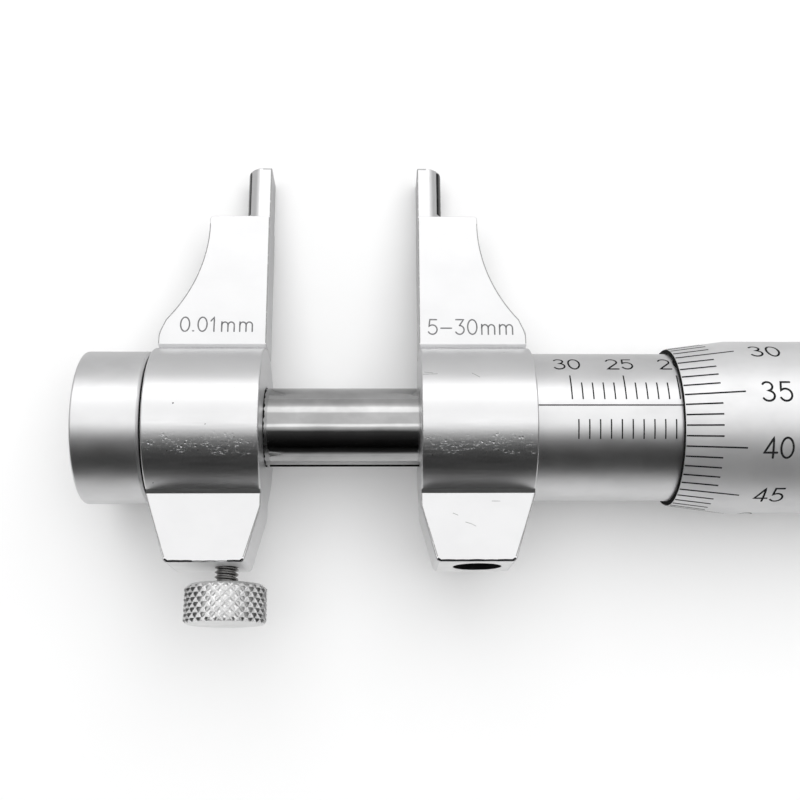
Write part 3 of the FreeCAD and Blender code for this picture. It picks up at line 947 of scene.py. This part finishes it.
def on_flat(height):
    def wrap(u, v, lift):
        return (u, v, height + lift)
    return wrap


def divided(path, longest=0.25):
    """A path with points added, so that it follows a curved surface."""
    points = [Vector(path[0])]
    for place in path[1:]:
        start, end = points[-1], Vector(place)
        steps = math.ceil((end - start).length / longest)
        points += [start.lerp(end, step / steps) for step in range(1, steps + 1)]
    return points


def stroke(mesh, path, width, wrap, round_ends=True):
    """A strip of one width along a flat path, as a thin closed solid."""
    # At a bend it widens, up to 1 / least_lean of its width
    least_lean = 0.625
    points = divided(path)
    last = len(points) - 1
    sections = []
    for index, point in enumerate(points):
        inward = (point - points[max(index - 1, 0)]).normalized()
        outward = (points[min(index + 1, last)] - point).normalized()
        heading = (inward + outward).normalized()
        side = Vector((-heading.y, heading.x))
        lean = max(least_lean, heading.dot(outward if outward.length else inward))
        sections.append((point, side, width / 2 / lean))
    if round_ends:
        caps = []
        for place, step in ((0, -1), (-1, 1)):
            point, side, half = sections[place]
            reach = Vector((side.y, -side.x)) * step * half
            row = []
            for turn in (math.radians(35), math.radians(65)):
                row.append((point + reach * math.sin(turn), side, half * math.cos(turn)))
            caps.append(row)
        sections = caps[0][::-1] + sections + caps[1]
    rings = []
    for point, side, half in sections:
        left, right = point + side * half, point - side * half
        corners = ((left, MARK_LIFT), (right, MARK_LIFT), (right, -MARK_DEPTH), (left, -MARK_DEPTH))
        rings.append([mesh.verts.new(wrap(*place, lift)) for place, lift in corners])
    mesh.faces.new(rings[0])
    mesh.faces.new(rings[-1][::-1])
    for near, far in zip(rings, rings[1:]):
        for index in range(4):
            after = (index + 1) % 4
            mesh.faces.new((near[index], far[index], far[after], near[after]))


def arc(centre_x, centre_y, radius_x, radius_y, start, end, steps=14):
    angles = [math.radians(start + (end - start) * step / steps) for step in range(steps + 1)]
    return [
        (centre_x + radius_x * math.cos(angle), centre_y + radius_y * math.sin(angle))
        for angle in angles
    ]


# Each sign is 1 high: its width, then its strokes. F is a 3 with a flat top.
SIGNS = {
    "0": (0.62, [arc(0.31, 0.5, 0.28, 0.47, 0, 345, 26) + [(0.59, 0.5)]]),
    "1": (0.34, [[(0.02, 0.72), (0.22, 0.97), (0.22, 0.03)]]),
    "2": (0.62, [arc(0.31, 0.69, 0.27, 0.28, 160, -38) + [(0.04, 0.03), (0.6, 0.03)]]),
    "3": (0.60, [
        arc(0.29, 0.75, 0.23, 0.22, 150, -90) + arc(0.29, 0.28, 0.28, 0.25, 90, -150),
    ]),
    "4": (0.64, [[(0.44, 0.03), (0.44, 0.97), (0.03, 0.28), (0.62, 0.28)]]),
    "5": (0.60, [[(0.54, 0.97), (0.14, 0.97), (0.08, 0.53)] + arc(0.29, 0.33, 0.28, 0.30, 125, -150)]),
    "F": (0.56, [[(0.04, 0.97), (0.5, 0.97), (0.26, 0.6)] + arc(0.26, 0.31, 0.27, 0.28, 90, -150)]),
    "m": (0.86, [
        [(0.04, 0.03), (0.04, 0.66)],
        [(0.04, 0.46)] + arc(0.235, 0.44, 0.195, 0.21, 150, 0, 8) + [(0.43, 0.03)],
        [(0.43, 0.46)] + arc(0.625, 0.44, 0.195, 0.21, 150, 0, 8) + [(0.82, 0.03)],
    ]),
    ".": (0.16, [[(0.05, 0.06), (0.11, 0.06)]]),
    "-": (0.68, [[(0.02, 0.42), (0.66, 0.42)]]),
}


def written_length(text, height, gap):
    return sum(SIGNS[sign][0] for sign in text) * height + gap * (len(text) - 1)


def write(mesh, text, start, base, height, gap, width, wrap):
    """Signs along +u from a start, standing on a base line, with one gap or one after each."""
    gaps = gap if isinstance(gap, tuple) else (gap,) * len(text)
    for sign, after in zip(text, gaps):
        sign_width, strokes = SIGNS[sign]
        for path in strokes:
            stroke(mesh, [(start + x * height, base + y * height) for x, y in path], width, wrap)
        start += sign_width * height + after


def add_sleeve_scale():
    mesh = bmesh.new()
    wrap = on_cylinder(sleeve_radius)
    number_height, number_gap, number_shift, number_base = 1.85, 0.28, -0.09, 0.6
    long_mark, short_mark = 0.478, 0.357

    def line(start, end):
        """Each end is a place along the axis and an angle round it."""
        path = [(x, sleeve_radius * angle) for x, angle in (start, end)]
        stroke(mesh, path, sleeve_line_width, wrap, False)

    line((sleeve_start + 0.05, index_turn), (sleeve_end - 0.3, index_turn))
    for value in range(smallest_reading, largest_reading + 1):
        x = sleeve_start + first_mark_gap + largest_reading - value
        numbered = value % 5 == 0
        line((x, 0.109), (x, long_mark if numbered else short_mark))
        if value > smallest_reading:
            line((x + 0.5, -0.155), (x + 0.5, -0.409))
        if numbered:
            text = str(value)
            start = x + number_shift - written_length(text, number_height, number_gap) / 2
            write(
                mesh, text, start, sleeve_radius * number_base, number_height, number_gap,
                number_width, wrap,
            )
    piece("sleeve_scale", mesh, black_ink, "fixed_side")


def add_thimble_scale():
    mesh = bmesh.new()
    long_mark, short_mark, number_place = 5.6, 3.5, 7.05
    number_height, wide_gap, narrow_gap = 2.02, 0.4, 0.24
    for value in range(thimble_marks):
        turn = 2 * math.pi * (reading_at_index - value) / thimble_marks + thimble_turn
        around = thimble_radius * turn
        numbered = value % 5 == 0
        end = thimble_start + (long_mark if numbered else short_mark)
        path = [(thimble_front + 0.05, around), (end, around)]
        stroke(mesh, path, thimble_line_width, on_thimble, False)
        if numbered:
            write(
                mesh, str(value), thimble_start + number_place, around - number_height / 2,
                number_height, narrow_gap if value >= 40 else wide_gap, thimble_number_width,
                on_thimble,
            )
    piece("thimble_scale", mesh, black_ink, "spindle_group")


def add_plate_words():
    for name, body, text, place, height, gaps in (
        ("unit_words", "jaw_carriage", "0.01mm", (-23.31, 8.98), 1.56, (0.2, 0.28, 0.3, 0.5, 0.42, 0)),
        ("range_words", "fixed_side", "5-F0mm", (0.86, 8.7), 1.62, (0.3, 0.34, 0.26, 0.36, 0.36, 0)),
    ):
        mesh = bmesh.new()
        write(mesh, text, *place, height, gaps, word_width, on_flat(plate_front))
        piece(name, mesh, grey_ink, body)


def on_hub(x, degrees):
    """A flat place for a mark on a hub, from an angle in degrees."""
    return (x, hub_radius * math.radians(degrees))


def add_dirty_edge(mesh, start, end, widths):
    """A dark line in the rounded lower edge of a lug, thick and thin in turns, turned up at the ends.
    """
    low, sag, end_reach, end_rise = 0.12 - lug_reach, 0.02, 0.24, 0.16
    length = (end - start) / len(widths)
    for index, width in enumerate(widths):
        first, last = start + index * length, start + (index + 1) * length
        path = [(first, low), ((first + last) / 2, low + sag), (last, low)]
        if index == 0:
            path.insert(0, (first - end_reach, low + end_rise))
        if index == len(widths) - 1:
            path.append((last + end_reach, low + end_rise))
        stroke(mesh, path, width, on_flat(lug_thickness / 2))


def add_shaded_edges(mesh, inner, sign):
    """Thin shade along a jaw's edges: on the blade, round the plate and down the lug's sides."""
    lug_top, lug_bottom = -7.3, 0.5 - lug_reach
    inset = 0.08
    for reach, path in (
        (blade_thickness / 2, [
            (inset, shoulder_reach + 0.1), (inset, jaw_reach - 0.16), (0.9, jaw_reach - 0.16),
        ]),
        (plate_front, [(x - 0.05, y) for x, y in waist()] + [
            (plate_width - 0.24, skirt_top + 0.25), (plate_width - 0.07, skirt_top - 0.35),
            (plate_width - 0.06, plate_foot + 0.15),
        ]),
        (plate_front, [(inset, plate_foot + 0.2), (inset, shoulder_reach - 0.2)]),
        (lug_thickness / 2, [
            (inset, lug_top), (inset, 0.05 - hub_radius - lug_straight),
            (lug_inner_inset + 0.05, lug_bottom),
        ]),
        (lug_thickness / 2, [
            (hub_length - 0.06, lug_top), (hub_length - lug_outer_inset - 0.03, lug_bottom),
        ]),
    ):
        path = [(inner + sign * x, y) for x, y in path]
        stroke(mesh, path, shade_width, on_flat(reach))


def add_strip_joint(mesh, inner, sign, width):
    """The dark joint beside the measuring strip, on the rounded face of the blade."""
    centre, radius = blade_face()

    def on_face(u, v, lift):
        return (inner + sign * (centre + math.sqrt((radius + lift) ** 2 - v**2)), u, v)

    height = (tip_width + width) / 2
    path = [(shoulder_reach + tip_foot_gap, height), (jaw_reach - 0.2, height)]
    stroke(mesh, path, width, on_face, False)


def add_wear():
    """Pits in the chrome of the hubs, scratch marks, painted shade along the edges and dark lines
    along the lugs' lower edges.
    """
    wrap = on_cylinder(hub_radius)

    def pit(mesh, x, degrees, length, width=pit_width):
        u, v = on_hub(x, degrees)
        stroke(mesh, [(u, v), (u + length, v + 0.02)], width, wrap)

    left, right, scratches_and_edge_shade, edges = (bmesh.new() for _ in range(4))
    pit(left, -22.65, 1.7, 0.07, 2 * pit_width)
    for mesh, x, degrees, length in (
        (left, -17.2, 12.8, 0.06), (left, -17.1, -21.3, 0.1), (left, -24.75, -56, 0.12),
        (left, -19.7, -12.6, 0.1), (left, -20.4, -30.2, 0.12), (left, -23.2, -30.8, 0.08),
        (right, 0.92, -33.9, 0.1), (right, 6.93, -30.4, 0.1), (right, 5.84, -31.8, 0.08),
    ):
        pit(mesh, x, degrees, length)
    edge_line_inset = 0.36
    inner, outer = lug_inner_inset + edge_line_inset, hub_length - lug_outer_inset - edge_line_inset
    add_dirty_edge(left, -opening - outer, -opening - inner, (0.17, 0.15, 0.06, 0.07, 0.05, 0.16))
    add_dirty_edge(right, inner, outer, (0.17, 0.14, 0.17, 0.13, 0.17))
    add_strip_joint(left, -opening, -1, 0.1)
    add_strip_joint(right, 0, 1, 0.25)
    for path in (
        [(6.59, -7.98), (7.34, -7.99)], [(4.1, -9.95), (4.6, -10.1), (5.04, -10.33)],
        [(2.94, -9.11), (3.4, -9.3)],
    ):
        stroke(scratches_and_edge_shade, path, scratch_width, on_flat(lug_thickness / 2))
    for start, end in (
        ((4.71, 25.7), (5.42, 22.0)), ((0.16, 24.5), (1.5, 24.9)), ((0.3, 26.5), (1.1, 25.8)),
    ):
        stroke(scratches_and_edge_shade, [on_hub(*start), on_hub(*end)], scratch_width, wrap)
    # Painted shade along the jaws' edges: the right jaw's shares a mesh with its scratch marks
    add_shaded_edges(scratches_and_edge_shade, 0, 1)
    add_shaded_edges(edges, -opening, -1)
    piece("left_wear", left, black_ink, "jaw_carriage")
    piece("right_wear", right, black_ink, "fixed_side")
    piece("right_scratches_and_painted_edge_shade", scratches_and_edge_shade, scratch_and_shade_grey, "fixed_side")
    piece("left_painted_edge_shade", edges, scratch_and_shade_grey, "jaw_carriage")


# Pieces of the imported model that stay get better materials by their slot

def dress_cad_nodes():
    looks = {
        "plain_steel": plain_steel, "bronze": bronze, "polished_steel": polished_steel,
        "satin_chrome": satin_chrome, "hard_metal": hard_metal,
    }
    for part in frame["record"]["subparts"]:
        thing = frame["nodes"][part["node"]]
        for slot in thing.material_slots:
            slot.material = looks[part["material_slot"]]


# Stage: a white floor, a soft lamp and a studio that metal reflects

def add_floor():
    data = bpy.data.meshes.new("floor")
    reach = 1.5
    corners = [(-reach, -reach, 0), (reach, -reach, 0), (reach, reach, 0), (-reach, reach, 0)]
    data.from_pydata(corners, [], [(0, 1, 2, 3)])
    nodes = Look("white_board")
    sockets = nodes.shader.inputs
    rays = nodes.add("LightPath").outputs
    paper = nodes.mixed(nodes.noise((0.02, 0.02, 0.02)), grey(0.94), grey(0.95))
    # What metal sees of the board darkens towards +Y
    height = nodes.add("SeparateXYZ", {0: nodes.place}).outputs["Y"]
    reflected = nodes.mixed(nodes.ranged(height, -12, 25, 0, 1), grey(0.84), grey(0.56))
    nodes.fill(sockets["Base Color"], nodes.mixed(rays["Is Glossy Ray"], paper, reflected))
    sockets["Roughness"].default_value = 0.5
    sockets["Specular IOR Level"].default_value = 0.2
    # Far from the tool the board melts into the white behind it
    distance = nodes.add("VectorMath", {0: nodes.place}, operation="LENGTH").outputs["Value"]
    fade = nodes.ranged(distance, 120, 320, 0, 1)
    seen = nodes.math("MULTIPLY", fade, rays["Is Camera Ray"])
    blend = nodes.blended(seen, nodes.shader, nodes.add("Emission"))
    nodes.fill(nodes.tree.nodes["Material Output"].inputs["Surface"], blend.outputs[0])
    data.materials.append(nodes.material)
    placed("floor", data)


def add_lamp():
    """One soft window above and behind the tool. Metal doesn't see it."""
    lamp = bpy.data.lights.new("window", "AREA")
    lamp.shape = "SQUARE"
    lamp.size = 0.75
    lamp.energy = 3.4
    thing = placed("window", lamp)
    away = Vector((0.06, 0.4, 0.9)).normalized()
    distance = 0.6
    thing.location = away * distance
    thing.rotation_euler = away.to_track_quat("Z", "Y").to_euler()
    thing.visible_glossy = False
    thing.visible_camera = False


def add_world():
    """Metal sees a studio that changes with the height round the X axis. Nothing else does."""
    world = bpy.data.worlds.new("studio")
    bpy.context.scene.world = world
    world.use_nodes = True
    nodes = Nodes(world.node_tree)
    nodes.tree.nodes.clear()
    brightest = 2.2
    # Degrees from straight up towards +Y, and the brightness seen there
    stops = (
        (-180, 0.6), (-92, 0.85), (-88, 0.78), (-84, 0.55), (-80, 0.22), (-76, 0.03), (-60, 0.0),
        (-40, 0.01), (-27, 0.035), (-12, 0.08), (-8, 0.4), (-4, 0.8), (1, 1.15), (3, 2.1), (8, 2.1),
        (11, 1.2), (42, 1.26), (46, 2.1), (59, 2.2), (64, 1.4), (69, 1.0), (78, 0.72), (180, 0.55),
    )
    generated = nodes.add("TexCoord").outputs["Generated"]
    direction = nodes.add("SeparateXYZ", {0: generated}).outputs
    angle = nodes.math("ARCTAN2", direction["Y"], direction["Z"])
    share = nodes.ranged(angle, -math.pi, math.pi, 0, 1, "LINEAR")
    ramp = nodes.add("ValToRGB", {"Fac": share})
    elements = ramp.color_ramp.elements
    elements.remove(elements[1])
    for index, (degrees, value) in enumerate(stops):
        place = degrees / 360 + 0.5
        element = elements.new(place) if index else elements[0]
        element.position = place
        element.color = (*grey(value / brightest), 1)
    # The walls at the two ends are darker
    across = nodes.math("ABSOLUTE", direction["X"])
    dimming = nodes.ranged(across, 0.5, 0.95, brightest, 0.45 * brightest)
    studio = nodes.add("Background", {"Color": ramp.outputs["Color"], "Strength": dimming})
    plain = nodes.add("Background", {"Color": grey(1), "Strength": 0.55})
    white = nodes.add("Background", {"Color": grey(1)})
    rays = nodes.add("LightPath").outputs
    lit = nodes.blended(rays["Is Glossy Ray"], plain, studio)
    seen = nodes.blended(rays["Is Camera Ray"], lit, white)
    nodes.add("OutputWorld", {"Surface": seen.outputs[0]})


def add_camera():
    """The photograph's camera, placed in the instrument's frame, in millimetres."""
    place = Vector((-4.02, -28.26, 105.23))
    right = Vector((0.9998, -0.0056, 0.0191))
    up = Vector((0.0, 0.9591, 0.2832))
    focal_length_in_pixels = 1114.5
    picture_width_in_pixels = 800
    camera = bpy.data.cameras.new("camera")
    camera.sensor_width = 36
    camera.lens = focal_length_in_pixels / picture_width_in_pixels * camera.sensor_width
    camera.clip_start = 0.005
    thing = placed("camera", camera)
    right.normalize()
    back = right.cross(up).normalized()
    up = back.cross(right)
    turn = Matrix((right, up, back)).transposed().to_4x4()
    spin = Matrix.Rotation(-rest_roll, 4, "X") @ turn
    thing.matrix_world = Matrix.Translation(to_row @ place) @ spin
    bpy.context.scene.camera = thing


dress_cad_nodes()
add_jaws()
add_key_screw()
add_guide_tube()
add_end_cap()
add_grease()
add_sleeve()
add_thimble()
add_ratchet()
add_lock_screw()
add_sleeve_scale()
add_thimble_scale()
add_plate_words()
add_wear()
add_floor()
add_lamp()
add_world()
add_camera()
bpy.context.scene.view_settings.view_transform = "Standard"
